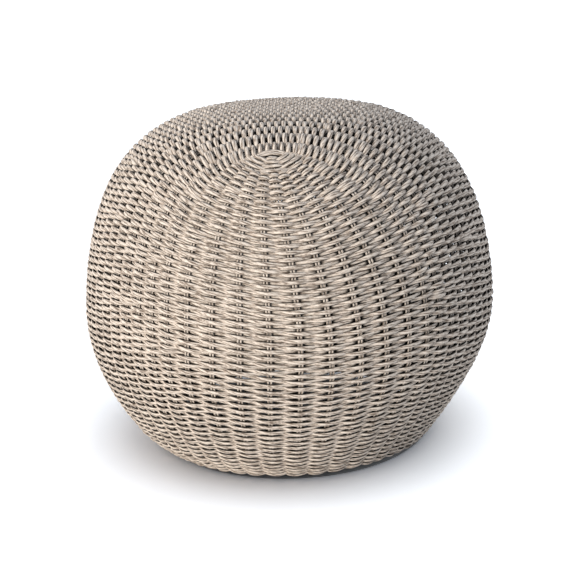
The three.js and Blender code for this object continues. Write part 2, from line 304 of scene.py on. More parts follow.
class Weave:
    """The paths of the stakes and the rows, as arc lengths and angles on the body.

    Flattened round the top centre, a point of a stake is S + w (sin a, cos a), at a distance w
    from its start S, where a turns from its first direction to its last with (1 - w/L)^2.34.
    Stakes near the middle of the front and the back fan out from an eye, and the others cross the
    ridge between the eyes. The crown is then leaned, as a ball that turns about the axis from
    front to back.
    """

    ball = 0.271
    turn_in = 2.34
    fan_edge = 4.79
    ridge_rows = 3
    ridge_pitch = 0.00457
    slit_front = 0.0105
    close_rows = 12
    closeness = 0.018
    stake_pitch = 0.01212
    stake_spread = 0.0000368
    last_waves = (0.153, 0.038, 0.0113)
    approach_steps = 6
    lean_fade = (0.45, 0.7)
    sway_start = 0.48
    sway_share = 0.9
    short_first = 3.5
    short_pitch = 2.75
    short_late = 20
    short_power = 5.5
    short_phases = (((+1, 0), 0.30), ((-1, 0), 0.55), ((+1, 1), 0.80), ((-1, 1), 0.05))
    golden_share = 0.618
    short_near = 2.5
    short_start_low = 1.7
    short_start_reach = 9
    short_start_tail = 3.3
    short_tail_power = 6
    short_overlap = 1.3
    short_blend = 6
    fan_fade = (2, 5)
    drifts = ((9.3, 7, 0), (6.1, -9, 0.3), (15.7, -21, 0.6))
    lift_power = 0.8
    sink_power = 2.4
    eye_stakes = (4, 1.5)
    eye_rows = (6.5, 2)
    eye_float = 3
    eye_lift = 0.5
    lengthening = 0.35

    def __init__(self, outline, layout):
        self.outline = outline
        self.layout = layout
        self.half = layout.stakes / 2
        self.middle = self.half / 2
        order = np.arange(layout.short_pairs)
        late = (order / order[-1]) ** self.short_power
        rows = self.short_first + self.short_pitch * order + self.short_late * late
        self.short_row = np.round(rows).astype(int)
        self.short_start = {}
        for key, phase in self.short_phases:
            share = (order * self.golden_share + phase) % 1
            start = self.short_start_low + self.short_start_reach * share
            start = start + self.short_start_tail * share ** self.short_tail_power
            self.short_start[key] = np.maximum(start, self.short_near)

    def from_eye(self, number):
        """Stakes between a stake and the nearer of the front's and the back's middle."""
        away = np.abs(number)
        return np.where(away < self.middle, away, self.half - away)

    def fan_turn(self, number):
        """Turn of a stake within the fan: 0 in the middle and a right angle at its edge."""
        return np.clip(self.from_eye(number) / self.fan_edge, 0, 1) * math.pi / 2

    def start(self, number):
        """Place on the ridge where a stake starts, and its first direction."""
        away = np.abs(number)
        in_half = self.middle - away
        along = self.stake_pitch * in_half + self.stake_spread * in_half ** 3
        along = np.clip(along, -self.layout.eye_distance, self.layout.eye_distance)
        turn = self.fan_turn(number)
        return along, np.where(away < self.middle, turn, math.pi - turn)

    def last(self, number):
        """Last direction of a stake: the stakes stand wider apart at front and back."""
        away = np.abs(number)
        side = self.layout.side_stake
        is_front = away < side
        share = np.where(is_front, away / side, (self.half - away) / (self.half - side))
        wave = sum(size * np.sin(order * math.pi * share)
                   for order, size in enumerate(self.last_waves, start=1))
        angle = QUARTER * (share + wave)
        return np.where(is_front, angle, math.pi - angle)

    def flat(self, number, distance):
        """Flattened place of a stake at a distance from its start."""
        along, first = self.start(number)
        final = self.last(number)
        left = np.clip(1 - distance / self.outline.length, 0, 1)
        angle = final + (first - final) * left ** self.turn_in
        return distance * np.sin(angle), along + distance * np.cos(angle)

    def reach(self, number):
        """Distance from a stake's start to the border, found by a few steps of approach."""
        length = self.outline.length
        distance = length + 0.0 * number
        for _ in range(self.approach_steps):
            across, ahead = self.flat(number, distance)
            distance = distance + length - np.hypot(across, ahead)
        return distance

    def at(self, number, distance):
        """Arc length and angle on the body for a stake's number and a distance along it."""
        across, ahead = self.flat(number, distance)
        return self.lean(np.where(number < 0, -across, across), ahead)

    def lean(self, across, ahead):
        """Turns flattened points about the axis from front to back, as on a ball."""
        bulge = self.outline.bulge
        arc = np.hypot(across, ahead)
        turn = np.arctan2(across, ahead)
        fade = 1 - smooth_step(arc / bulge, *self.lean_fade)
        tilt = self.layout.tilt * fade
        down = arc / self.ball
        east = np.sin(down) * np.sin(turn)
        south = np.sin(down) * np.cos(turn)
        up = np.cos(down)
        east, up = east * np.cos(tilt) - up * np.sin(tilt), east * np.sin(tilt) + up * np.cos(tilt)
        leaned = np.arccos(np.clip(up, -1, 1)) * self.ball
        turn = np.arctan2(east, south)
        share = np.clip((leaned / bulge - self.sway_start) / self.sway_share, 0, 1)
        turn = turn + self.layout.sway * np.sin(math.pi * share) * (1 + np.cos(turn)) / 2
        return np.minimum(leaned, self.outline.length), turn

    def short_weight(self, number, pair):
        """How much of a short pair's room is open at a stake: 0 outside its ends, 1 well inside."""
        away = np.abs(number)
        weight = 0
        for sign in (+1, -1):
            first = away - self.short_start[sign, 0][pair] + self.short_overlap
            last = self.half - away - self.short_start[sign, 1][pair] + self.short_overlap
            room = smooth_step(first / self.short_blend) * smooth_step(last / self.short_blend)
            weight = weight + (np.sign(number) == sign) * room
        return weight

    def spiral(self, number):
        """Share of a turn that the spiral of rows has made at a stake."""
        return (number + self.half) / self.layout.stakes

    def rank(self, number, row):
        """Rank of a full row at a stake: its own number and two for each short pair before it."""
        rank = row + self.spiral(number)
        for pair, before in enumerate(self.short_row):
            rank = rank + 2 * self.short_weight(number, pair) * (row > before)
        return rank

    def short_rank(self, number, pair, place):
        """Rank of the first or second row of a short pair, spread evenly in the pair's room."""
        before = self.rank(number, self.short_row[pair])
        return before + place * (1 + 2 * self.short_weight(number, pair)) / 3

    def distance(self, number, rank):
        """Distance along a stake for a rank.

        Distance = b + A rank - c (1 - exp(-rank / 12)), where b is the start behind the ridge rows
        or in front of the slit, c draws the first rows closer in front of an eye, and A makes the
        last row end at the border.
        """
        total = self.layout.rows + 0.0 * number
        for pair in range(len(self.short_row)):
            total = total + 2 * self.short_weight(number, pair)
        rank = rank + self.layout.drift * self.drift(number, rank)
        fan = 1 - smooth_step(self.from_eye(number), *self.fan_fade)
        behind = self.ridge_pitch * (self.ridge_rows + 1 - self.spiral(number))
        begin = behind + (self.slit_front - behind) * np.cos(self.fan_turn(number))
        close = self.closeness * fan
        pitch = (self.reach(number) - begin + close) / total
        return begin + pitch * rank - close * (1 - np.exp(-rank / self.close_rows))

    def drift(self, number, rank):
        """Slow unevenness of the rows, between -1 and 1, as waves over the stakes and rows."""
        waves = sum(np.sin(FULL * (rank / rows + number / stakes + phase))
                    for rows, stakes, phase in self.drifts)
        return waves / len(self.drifts)

    def relief(self, wave, sizes):
        """Height of a row: lift c^0.8 over a stake and -sink |c|^2.4 behind it, where it dives late."""
        size = np.abs(wave)
        over = sizes.lift * size ** self.lift_power
        return np.where(wave > 0, over, -sizes.sink * size ** self.sink_power)

    def deeper(self, arc, turn, sizes):
        """How many times deeper the weave is than on the front: more on the crown and the sides."""
        low = self.outline.lowness(arc)
        open_share = self.outline.openness(arc, turn)
        return 1 + (sizes.foot_relief - 1) * low + (sizes.crown_relief - 1) * open_share * (1 - low)

    def float_wave(self, number, rank, row):
        """Side on which a row passes: a cosine, +1 in front of a stake and -1 behind it.

        A row alternates at each stake, but in front of an eye only at each third one.
        """
        outside = smooth_step(self.from_eye(number), *self.eye_stakes)
        short = np.maximum(outside, smooth_step(rank, *self.eye_rows))
        plain = np.cos(math.pi * (number + row))
        away = np.where(np.abs(number) < self.middle, number, number - np.sign(number) * self.half)
        long_wave = np.cos(math.pi * (away / self.eye_float + row))
        return short * plain + self.eye_lift * (1 - short) * long_wave

    def longer(self, wave, open_share):
        """The wave c as c + k (1 - c^2), which makes the floats longer than the dives between."""
        return wave + self.lengthening * open_share * (1 - wave ** 2)

    def short_rows(self, pair, sign):
        """Place, parity, first and last stake of a pair's short rows, which end behind a stake."""
        for place in (1, 2):
            parity = int(self.short_row[pair]) + 2 - place
            low = int(round(self.short_start[sign, 0][pair]))
            high = int(round(self.half - self.short_start[sign, 1][pair]))
            yield place, parity, low + (low + parity + 1) % 2, high - (high + parity + 1) % 2

    def crossings(self, number):
        """Distances at which the rows cross a whole stake, in order, and the side they pass on."""
        rows = np.arange(self.layout.rows)
        places = [self.distance(number, self.rank(float(number), rows))]
        sides = [1 - 2 * ((number + rows) % 2)]
        away = abs(number)
        if self.from_eye(number) > self.fan_edge:
            ridge = np.arange(self.ridge_rows + 1)
            places.append(ridge * self.ridge_pitch)
            sides.append(1 - 2 * ((number + ridge) % 2))
        sign = 1 if number > 0 else -1
        for pair in range(len(self.short_row)):
            for place, parity, low, high in self.short_rows(pair, sign):
                if low <= away <= high:
                    here = np.array([float(number)])
                    places.append(self.distance(here, self.short_rank(here, pair, place)))
                    sides.append([1 - 2 * ((number + parity) % 2)])
        places = np.concatenate(places)
        order = places.argsort()
        return places[order], np.concatenate(sides)[order]


def add_object(name, data):
    """A new object on the scene."""
    made = bpy.data.objects.new(name, data)
    bpy.context.scene.collection.objects.link(made)
    return made


def tube(points, normals, width, thickness, sides, behind=0.0):
    """Vertices, faces, corner coordinates and painted shade values of a cord with an oval section along
    a path.

    The section's points are width/2 cos(a) across the path and thickness/2 sin(a) along the normal. U
    runs along the path in centimetres and V round the section from its underside, and both ends are
    closed by a flat face. Behind is 1 where the cord passes behind a stake, and it sets the cord's
    painted shade.
    """
    count = len(points)
    path = np.gradient(points, axis=0)
    path /= np.linalg.norm(path, axis=1, keepdims=True)
    across = np.cross(path, normals)
    across /= np.linalg.norm(across, axis=1, keepdims=True)
    up = np.cross(across, path)
    turn = np.arange(sides) / sides * 2 * math.pi - QUARTER
    reach = (np.broadcast_to(width, (count,)) / 2)[:, None, None] * np.cos(turn)[None, :, None]
    rise = (np.broadcast_to(thickness, (count,)) / 2)[:, None, None] * np.sin(turn)[None, :, None]
    rings = points[:, None, :] + across[:, None, :] * reach + up[:, None, :] * rise
    first = np.arange(count - 1)[:, None] * sides
    second = first + sides
    here = np.arange(sides)[None, :]
    after = (here + 1) % sides
    quads = np.stack([first + here, second + here, second + after, first + after], -1).reshape(-1, 4)
    step = np.linalg.norm(np.diff(points, axis=0), axis=1)
    run = np.concatenate([[0], np.cumsum(step)]) * CENTIMETRES
    corners = np.empty((count - 1, sides, 4, 2))
    corners[:, :, (0, 3), 0] = run[:-1, None, None]
    corners[:, :, (1, 2), 0] = run[1:, None, None]
    corners[:, :, :2, 1] = here[:, :, None] / sides
    corners[:, :, 2:, 1] = here[:, :, None] / sides + 1 / sides
    caps = np.stack([np.arange(sides), np.arange(sides)[::-1] + (count - 1) * sides])
    deep = np.repeat(np.broadcast_to(behind, (count,)), sides)
    return rings.reshape(-1, 3), quads, corners.reshape(-1, 2), caps, deep


def cord_mesh(name, cords, material, node):
    """Makes one object out of many cords, rides it on the body and replaces a CAD node."""
    before = np.cumsum([0] + [len(cord[0]) for cord in cords])
    shifted = [(rings, quads + start, corners, caps + start, deep)
               for start, (rings, quads, corners, caps, deep) in zip(before, cords)]
    vertices, quads, corners, caps, behind = map(np.concatenate, zip(*shifted))
    sides = caps.shape[1]
    mesh = bpy.data.meshes.new(name)
    mesh.vertices.add(len(vertices))
    mesh.vertices.foreach_set("co", vertices.astype(np.float32).ravel())
    indices = np.concatenate([quads.ravel(), caps.ravel()]).astype(np.int32)
    mesh.loops.add(len(indices))
    mesh.loops.foreach_set("vertex_index", indices)
    mesh.polygons.add(len(quads) + len(caps))
    starts = np.concatenate([np.arange(len(quads)) * 4, quads.size + np.arange(len(caps)) * sides])
    mesh.polygons.foreach_set("loop_start", starts.astype(np.int32))
    mesh.update(calc_edges=True)
    layer = mesh.uv_layers.new(name="cord")
    flat = np.concatenate([corners, np.zeros((caps.size, 2))])
    layer.data.foreach_set("uv", flat.astype(np.float32).ravel())
    smooth = np.concatenate([np.ones(len(quads), bool), np.zeros(len(caps), bool)])
    mesh.polygons.foreach_set("use_smooth", smooth)
    # The attribute behind carries the painted shade to the cord material.
    attribute = mesh.attributes.new("behind", "FLOAT", "POINT")
    attribute.data.foreach_set("value", behind.astype(np.float32))
    mesh.materials.append(material)
    piece = add_object(name, mesh)
    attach(piece, ROOT)
    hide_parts(node)

# Node groups and materials

def feed(tree, inputs, values):
    """Feeds inputs of a node, by their names or places, with sockets or plain values."""
    for name, value in values.items():
        if isinstance(value, bpy.types.NodeSocket):
            tree.links.new(value, inputs[name])
        else:
            inputs[name].default_value = value


def add_node(tree, kind, inputs=None, **choices):
    """Outputs of a new shader node, after its choices are made and its inputs are fed."""
    node = tree.nodes.new("ShaderNode" + kind)
    for name, value in choices.items():
        setattr(node, name, value)
    feed(tree, node.inputs, inputs or {})
    return node.outputs


def maths(tree, operation, first, second=0.0):
    """Result of a Math node, whose inputs are sockets or numbers."""
    return add_node(tree, "Math", {0: first, 1: second}, operation=operation)["Value"]


def times(tree, first, second):
    """Product of two sockets or numbers."""
    return maths(tree, "MULTIPLY", first, second)


def weighted(tree, first, first_share, second, second_share):
    """Sum of two sockets, each times its share."""
    return maths(tree, "ADD", times(tree, first, first_share), times(tree, second, second_share))


def remap(tree, value, from_low, from_high, to_low, to_high, kind="LINEAR"):
    """A value moved from one range to another."""
    inputs = {"Value": value, "From Min": from_low, "From Max": from_high,
              "To Min": to_low, "To Max": to_high}
    return add_node(tree, "MapRange", inputs, interpolation_type=kind)["Result"]


def noise(tree, place, scale, detail, roughness=0.5):
    """A noise over a place."""
    inputs = {"Vector": place, "Scale": scale, "Detail": detail, "Roughness": roughness}
    return add_node(tree, "TexNoise", inputs)["Fac"]


def mix_colours(tree, share, first, second, blend="MIX"):
    """Two colours, each a socket or three numbers, mixed or multiplied."""
    inputs = {"Factor": share, "A": first, "B": second}
    for name in ("A", "B"):
        if not isinstance(inputs[name], bpy.types.NodeSocket):
            inputs[name] = (*inputs[name], 1)
    return add_node(tree, "Mix", inputs, data_type="RGBA", blend_type=blend)["Result"]


def ray_is(tree, *kinds):
    """1 for a ray of any of the named kinds."""
    path = add_node(tree, "LightPath")
    seen = path[f"Is {kinds[0]} Ray"]
    for kind in kinds[1:]:
        seen = maths(tree, "MAXIMUM", seen, path[f"Is {kind} Ray"])
    return seen


def bump(tree, height, strength, depth):
    """Normal of a surface with a bump of that height."""
    return add_node(tree, "Bump", {"Strength": strength, "Distance": depth, "Height": height})["Normal"]


def new_group(name, inputs, outputs):
    """An empty node group with its sockets, and the nodes that stand for them inside."""
    group = bpy.data.node_groups.new(name, "ShaderNodeTree")
    for label, default in inputs.items():
        made = group.interface.new_socket(name=label, in_out="INPUT", socket_type="NodeSocketFloat")
        made.default_value = default
    for label in outputs:
        group.interface.new_socket(name=label, in_out="OUTPUT", socket_type="NodeSocketFloat")
    return group, group.nodes.new("NodeGroupInput").outputs, group.nodes.new("NodeGroupOutput").inputs


def fibre_group():
    """Group that draws the twisted fibres of a cord from its UV map.

    A noise stretched along the cord gives the fibres, and a sine round and along it gives the twisted
    yarns, whose grooves darken the tone as painted shade. A slow noise gives lighter and darker
    lengths, and a cosine round the cord tells its outer side, for the painted shade on the inner side.
    """
    name = "cord_fibres"
    if name in bpy.data.node_groups:
        return bpy.data.node_groups[name]
    inputs = {"Fibres round": 9.0, "Yarns": 3.0, "Twist": 0.1}
    group, inlet, outlet = new_group(name, inputs, ("Tone", "Height", "Outer"))
    fibre_pace, slow_pace = 1.2, 0.22
    groove_power, groove_depth, groove_floor = 0.4, 0.42, 0.61
    fibre_tone, slow_tone = 0.78, 0.22
    groove_height, fibre_height = 0.6, 0.7
    inner_edge, outer_edge = -0.02, -0.78
    plain_scale, fibre_detail, fibre_roughness, slow_detail = 1.0, 3.0, 0.65, 2.0
    split = add_node(group, "SeparateXYZ", {"Vector": add_node(group, "UVMap", uv_map="cord")["UV"]})
    along, around = split["X"], split["Y"]
    twisted = maths(group, "ADD", around, times(group, along, inlet["Twist"]))
    place = add_node(group, "CombineXYZ", {
        "X": times(group, along, fibre_pace), "Y": times(group, twisted, inlet["Fibres round"])})
    fibres = noise(group, place["Vector"], plain_scale, fibre_detail, fibre_roughness)
    slow_place = add_node(group, "CombineXYZ", {"X": times(group, along, slow_pace)})
    slow = noise(group, slow_place["Vector"], plain_scale, slow_detail)
    yarn_turn = times(group, times(group, twisted, inlet["Yarns"]), math.pi)
    yarn = maths(group, "ABSOLUTE", maths(group, "SINE", yarn_turn))
    groove = maths(group, "POWER", yarn, groove_power)
    tone = weighted(group, fibres, fibre_tone, slow, slow_tone)
    # Painted shade: the tone is darker in the grooves between the yarns.
    depth = maths(group, "ADD", times(group, groove, groove_depth), groove_floor)
    # Outer is 1 on the outer side of the cord and 0 on its inner side, where the material paints shade.
    side = maths(group, "COSINE", times(group, around, FULL))
    feed(group, outlet, {
        "Tone": times(group, tone, depth),
        "Height": weighted(group, groove, groove_height, fibres, fibre_height),
        "Outer": remap(group, side, inner_edge, outer_edge, 0.0, 1.0, "SMOOTHSTEP")})
    return group


def new_material(name):
    """A material with its node tree and its Principled shader's inputs."""
    material = bpy.data.materials.new(name)
    material.use_nodes = True
    tree = material.node_tree
    return material, tree, tree.nodes["Principled BSDF"].inputs


def cord_material(name, fibres_round, yarns, lightness):
    """Fibrous outdoor cord, made once for a name.

    Tone and bump come from the fibre group, and a slow noise changes the tone. Painted shade darkens
    the colour where the attribute behind is high, as where the cord passes behind a stake, and on the
    inner side of each cord. The gloss and sheen fade with it, as painted shade on the reflections.
    """
    if name in bpy.data.materials:
        return bpy.data.materials[name]
    finish = settings().finish
    material, tree, shader = new_material(name)
    dark_place, middle_place, light_place = 0.37, 0.46, 0.55
    patch_scale, patch_detail, patch_low, patch_high, patch_change = 14.0, 2.0, 0.3, 0.7, 0.06
    fade_start, fade_end = 0.60, 0.86
    roughness, gloss, sheen, sheen_roughness = 0.72, 0.5, 0.12, 0.5
    bump_strength, bump_depth = 0.55, 0.0006
    inputs = {"Fibres round": fibres_round, "Yarns": yarns}
    fibres = add_node(tree, "Group", inputs, node_tree=fibre_group())
    ramp = tree.nodes.new("ShaderNodeValToRGB")
    ends = ramp.color_ramp.elements
    ends[0].position = dark_place
    ends[0].color = (*finish.cord_dark, 1)
    ends[1].position = light_place
    ends[1].color = (*finish.cord_light, 1)
    ends.new(middle_place).color = (*finish.cord_middle, 1)
    feed(tree, ramp.inputs, {"Fac": fibres["Tone"]})
    patches = noise(tree, add_node(tree, "TexCoord")["Object"], patch_scale, patch_detail)
    patches = remap(tree, patches, patch_low, patch_high,
                    lightness - patch_change, lightness + patch_change)
    # Painted shade on the inner side of each cord and, through the attribute behind, in the recesses;
    # it fades the gloss and sheen as well.
    crevice_shade = remap(tree, fibres["Outer"], 0.0, 1.0, finish.crevice_shade, 1.0)
    behind = add_node(tree, "Attribute", attribute_name="behind")["Fac"]
    behind_shade = remap(tree, behind, fade_start, fade_end, 1.0, finish.recess_shade, "SMOOTHSTEP")
    deep = times(tree, behind_shade, crevice_shade)
    shade = times(tree, patches, deep)
    feed(tree, shader, {
        "Base Color": mix_colours(tree, 1.0, ramp.outputs["Color"], shade, "MULTIPLY"),
        "Specular IOR Level": times(tree, deep, gloss),
        "Sheen Weight": times(tree, deep, sheen),
        "Roughness": roughness,
        "Sheen Roughness": sheen_roughness,
        "Normal": bump(tree, fibres["Height"], bump_strength, bump_depth)})
    return material


def grain_group():
    """Group with a fine even grain for coats and moulded parts, on Object coordinates."""
    name = "fine_grain"
    if name in bpy.data.node_groups:
        return bpy.data.node_groups[name]
    detail = 4.0
    inputs = {"Scale": 900.0, "Wear scale": 30.0}
    group, inlet, outlet = new_group(name, inputs, ("Grain", "Wear"))
    place = add_node(group, "TexCoord")["Object"]
    feed(group, outlet, {
        "Grain": noise(group, place, inlet["Scale"], detail),
        "Wear": noise(group, place, inlet["Wear scale"], detail)})
    return group


def hard_material(name, colour, worn_share, roughness, metallic, grain_scale, grain_depth):
    """Coated or moulded hard surface with a fine grain and a slow change of colour and gloss."""
    material, tree, shader = new_material(name)
    gloss_change, grain_strength = 0.1, 0.4
    grain = add_node(tree, "Group", {"Scale": grain_scale}, node_tree=grain_group())
    wear = grain["Wear"]
    worn = [tone * worn_share for tone in colour]
    feed(tree, shader, {
        "Base Color": mix_colours(tree, wear, colour, worn),
        "Roughness": remap(tree, wear, 0.0, 1.0, roughness - gloss_change, roughness + gloss_change),
        "Metallic": metallic,
        "Normal": bump(tree, grain["Grain"], grain_strength, grain_depth)})
    return material


# Operators

WEAVER_CORD = {"name": "weaver_cord", "fibres_round": 9.0, "yarns": 4.0, "lightness": 1.16}
STAKE_CORD = {"name": "stake_cord", "fibres_round": 6.0, "yarns": 2.0, "lightness": 1.15}


def settings():
    """The ottoman's settings on this scene."""
    return bpy.context.scene.ottoman


def layout_of_scene():
    """The outline, the weave and the cord sizes that the operators share, from the settings."""
    ottoman = settings()
    outline = Outline(ottoman.body)
    return outline, Weave(outline, ottoman.weave), ottoman.cord


def stray(random, count, marks, size):
    """Smooth random offsets: one value for each whole mark, joined by smooth steps."""
    values = random.normal(0, 1, count + 2) * size
    whole = np.floor(marks).astype(int)
    part = smooth_step(marks - whole)
    return values[whole] * (1 - part) + values[whole + 1] * part


class OTTOMAN_OT_weaver(bpy.types.Operator):
    """Build the weaver cord: one spiral of rows over and under the stakes, and the short rows"""

    bl_idname = "ottoman.weaver"
    bl_label = "Weaver cord"

    seed = 7
    steps = 8
    sides = 8
    bands = 8
    plain_width = 0.94
    open_width = 0.05
    round_width = 0.15
    float_width = 0.06
    crown_width = 0.1
    width_power = 1.5
    width_stray = 0.035
    lift_stray = 0.08
    # Painted recess shade: the side and crown shares add to it where the weave is open, and the tight
    # and left shares hold it back on the front.
    side_shade = 0.2
    crown_shade = 0.34
    tight_shade = 0.02
    left_shade = 0.19
    hair = 1e-9
    left_turn = 0.65
    left_steps = (0.6, 0.35)

    def path(self, outline, weave, random, number, parity, rank, marks):
        """Place, lift, width and painted recess shade of a row.

        It is a cosine over and under the stakes, with strays in its place, lift and width. It is widest
        over a stake, and its painted recess shade grows as the cosine falls: more where the weave is
        open and on the crown, less on the tight front, and least on the left of the front.
        """
        sizes = settings().cord
        count = int(marks[-1]) + 1
        strayed = rank + stray(random, count, marks, sizes.wander / weave.ridge_pitch)
        arc, turn = weave.at(number, weave.distance(number, strayed))
        open_share = outline.openness(arc, turn)
        upward = outline.upward(arc)
        wave = weave.longer(weave.float_wave(number, rank, parity), open_share)
        lift = weave.deeper(arc, turn, sizes) * weave.relief(wave, sizes)
        lift = lift * (1 + stray(random, count, marks, self.lift_stray))
        rounded = self.round_width * np.abs(wave) ** self.width_power
        over = (self.float_width + self.crown_width * upward) * open_share
        rounded = rounded + over * wave.clip(0) ** self.width_power
        width = self.plain_width + self.open_width * open_share + rounded
        width = sizes.width * (width + stray(random, count, marks, self.width_stray))
        # Painted shade where the row passes behind a stake, more on the open sides and crown, and held
        # back on the tight front, most on its left.
        shade = (self.side_shade + self.crown_shade * upward) * open_share
        left = smooth_step(np.cos(turn + self.left_turn), *self.left_steps)
        tight = (self.tight_shade + self.left_shade * left) * (1 - open_share)
        return arc, turn, lift, width, shade - wave * (1 - tight)

    def execute(self, context):
        outline, weave, sizes = layout_of_scene()
        layout = settings().weave
        random = np.random.default_rng(self.seed)
        material = cord_material(**WEAVER_CORD)
        stakes = layout.stakes
        total = stakes * layout.rows
        marks = np.linspace(0, total, total * self.steps + 1)[:-1]
        row = np.floor(marks / stakes + self.hair)
        number = marks - row * stakes - weave.half
        rank = weave.rank(number, row)
        arc, turn, lift, width, recess_shade = self.path(outline, weave, random, number, row, rank, marks)
        points, normals = outline.place(arc, turn, lift)
        pieces = []
        cut = np.linspace(0, layout.rows, self.bands + 1).astype(int) * stakes * self.steps
        for band in range(self.bands):
            part = slice(cut[band], min(cut[band + 1] + 1, len(points)))
            pieces.append([tube(points[part], normals[part], width[part],
                                sizes.thickness, self.sides, recess_shade[part])])
        for pair, before in enumerate(weave.short_row):
            band = min(int(before / layout.rows * self.bands), self.bands - 1)
            for side in (+1, -1):
                for place, parity, low, high in weave.short_rows(pair, side):
                    marks = np.arange(0, (high - low) * self.steps + 1) / self.steps
                    number = side * (low + marks)
                    rank = weave.short_rank(number, pair, place)
                    arc, turn, lift, width, recess_shade = self.path(
                        outline, weave, random, number, parity, rank, marks)
                    ends = np.minimum(marks, marks[-1] - marks)
                    lift = lift - sizes.thickness / 2 * (1 - smooth_step(ends))
                    points, normals = outline.place(arc, turn, lift)
                    pieces[band].append(
                        tube(points, normals, width, sizes.thickness, self.sides, recess_shade))
        for band, cords in enumerate(pieces):
            cord_mesh(f"weaver_cord_{band + 1}", cords, material, SKIN)
        return {"FINISHED"}


class OTTOMAN_OT_ridge(bpy.types.Operator):
    """Build the rows along the ridge between the eyes, and the arched band behind each eye"""

    bl_idname = "ottoman.ridge"
    bl_label = "Ridge and eyes"

    seed = 5
    steps = 8
    sides = 8
    samples = 40
    tuck = 0.6
    plain_width = 0.97
    round_width = 0.18
    width_power = 1.5
    width_stray = 0.04
    # Painted shade where a ridge row passes behind a stake.
    shade = 0.25
    ply_width = 0.3
    ply_rise = 0.85
    band_rise = 0.45
    band_forward = 0.6
    band_power = 0.5
    band_sink = 0.4

    def rows(self, outline, weave, sizes, random):
        """The cords of the rows along the ridge, tucked in at both ends."""
        cords = []
        first = weave.fan_edge
        last = weave.half - first
        marks = np.linspace(0, last - first, int((last - first) * self.steps))
        number = first + marks
        count = int(marks[-1]) + 1
        ends = np.minimum(marks, marks[-1] - marks)
        for ridge in range(-weave.ridge_rows, weave.ridge_rows + 1):
            distance = abs(ridge) * weave.ridge_pitch + stray(random, count, marks, sizes.wander)
            if ridge == 0:
                arc, turn = weave.lean(*weave.flat(number, distance))
            else:
                arc, turn = weave.at(number if ridge > 0 else -number, distance)
            wave = weave.longer(np.cos(math.pi * (number + ridge)), 1)
            lift = weave.deeper(arc, turn, sizes) * weave.relief(wave, sizes)
            lift = lift - sizes.thickness * (1 - smooth_step(ends, 0, self.tuck))
            width = self.plain_width + self.round_width * np.abs(wave) ** self.width_power
            width = sizes.width * (width + stray(random, count, marks, self.width_stray))
            points, normals = outline.place(arc, turn, lift)
            cords.append(tube(points, normals, width, sizes.thickness, self.sides, self.shade - wave))
        return cords

    def execute(self, context):
        outline, weave, sizes = layout_of_scene()
        layout = settings().weave
        cords = self.rows(outline, weave, sizes, np.random.default_rng(self.seed))
        sweep = np.linspace(-QUARTER, QUARTER, self.samples)
        for end in (+1, -1):
            for ply in (0, 1):
                half = layout.eye_width + sizes.width * self.ply_width * ply
                rise = layout.eye_width * self.band_rise + sizes.width * self.ply_rise * ply
                across = half * np.sin(sweep)
                forward = layout.eye_distance + layout.eye_width * self.band_forward
                arc, turn = weave.lean(across, end * (forward - rise * np.cos(sweep)))
                lift = sizes.lift * (np.cos(sweep).clip(0) ** self.band_power - self.band_sink)
                points, normals = outline.place(arc, turn, lift)
                cords.append(tube(points, normals, sizes.width, sizes.thickness, self.sides))
        cord_mesh("ridge_cords", cords, cord_material(**WEAVER_CORD), SKIN)
        return {"FINISHED"}


class OTTOMAN_OT_stakes(bpy.types.Operator):
    """Build the stakes: pairs of thin cords from the ridge and the eyes down to the border"""

    bl_idname = "ottoman.stakes"
    bl_label = "Stakes"

    seed = 11
    sides = 6
    groups = 4
    first_of = 3
    late_crossings = 8
    strays = 20
    stray_margin = 0.1
    own_share = 3
    # Painted shade on the stakes where the weave is open, darker on the crown.
    side_shade = 0.69
    crown_shade = 0.16

    def crossings(self, weave, number):
        """Distances and waves of a stake: at each row, half way between rows, and at the border."""
        places, sides = weave.crossings(number)
        from_middle = number if abs(number) < weave.middle else abs(number) - weave.half
        if weave.from_eye(number) < weave.fan_edge and round(from_middle) % self.first_of != 0:
            places, sides = places[self.late_crossings:], sides[self.late_crossings:]
        distance = np.empty(2 * len(places) - 1)
        distance[0::2] = places
        distance[1::2] = (places[:-1] + places[1:]) / 2
        wave = np.zeros(len(distance))
        wave[0::2] = -sides
        return np.append(distance, weave.reach(float(number))), np.append(wave, 0)

    def execute(self, context):
        outline, weave, sizes = layout_of_scene()
        material = cord_material(**STAKE_CORD)
        random = np.random.default_rng(self.seed)
        apart = (sizes.stake_cord + sizes.stake_gap) / 2
        reach = int(weave.half)
        groups = [[] for _ in range(self.groups)]
        for number in range(-reach, reach + 1):
            distance, wave = self.crossings(weave, number)
            arc, turn = weave.at(np.full(len(distance), float(number)), distance)
            middle, normals = outline.place(arc, turn, sizes.stake_wave * wave + sizes.stake_rise)
            path = np.gradient(middle, axis=0)
            path /= np.linalg.norm(path, axis=1, keepdims=True)
            across = np.cross(path, normals)
            marks = np.linspace(0, self.strays - self.stray_margin, len(distance))
            sway = stray(random, self.strays, marks, sizes.wander)
            # Painted shade: the stakes are darkened where the weave is open, more on the crown.
            shade = self.side_shade + self.crown_shade * outline.upward(arc)
            behind = shade * outline.openness(np.minimum(arc, outline.bulge), turn)
            group = (number + reach) * self.groups // (2 * reach + 1)
            for side in (+1, -1):
                own = stray(random, self.strays, marks, sizes.wander / self.own_share)
                points = middle + across * (side * apart + sway + own)[:, None]
                groups[group].append(
                    tube(points, normals, sizes.stake_cord, sizes.stake_cord, self.sides, behind))
        for group, cords in enumerate(groups):
            cord_mesh(f"stakes_{group + 1}", cords, material, SKIN)
        return {"FINISHED"}


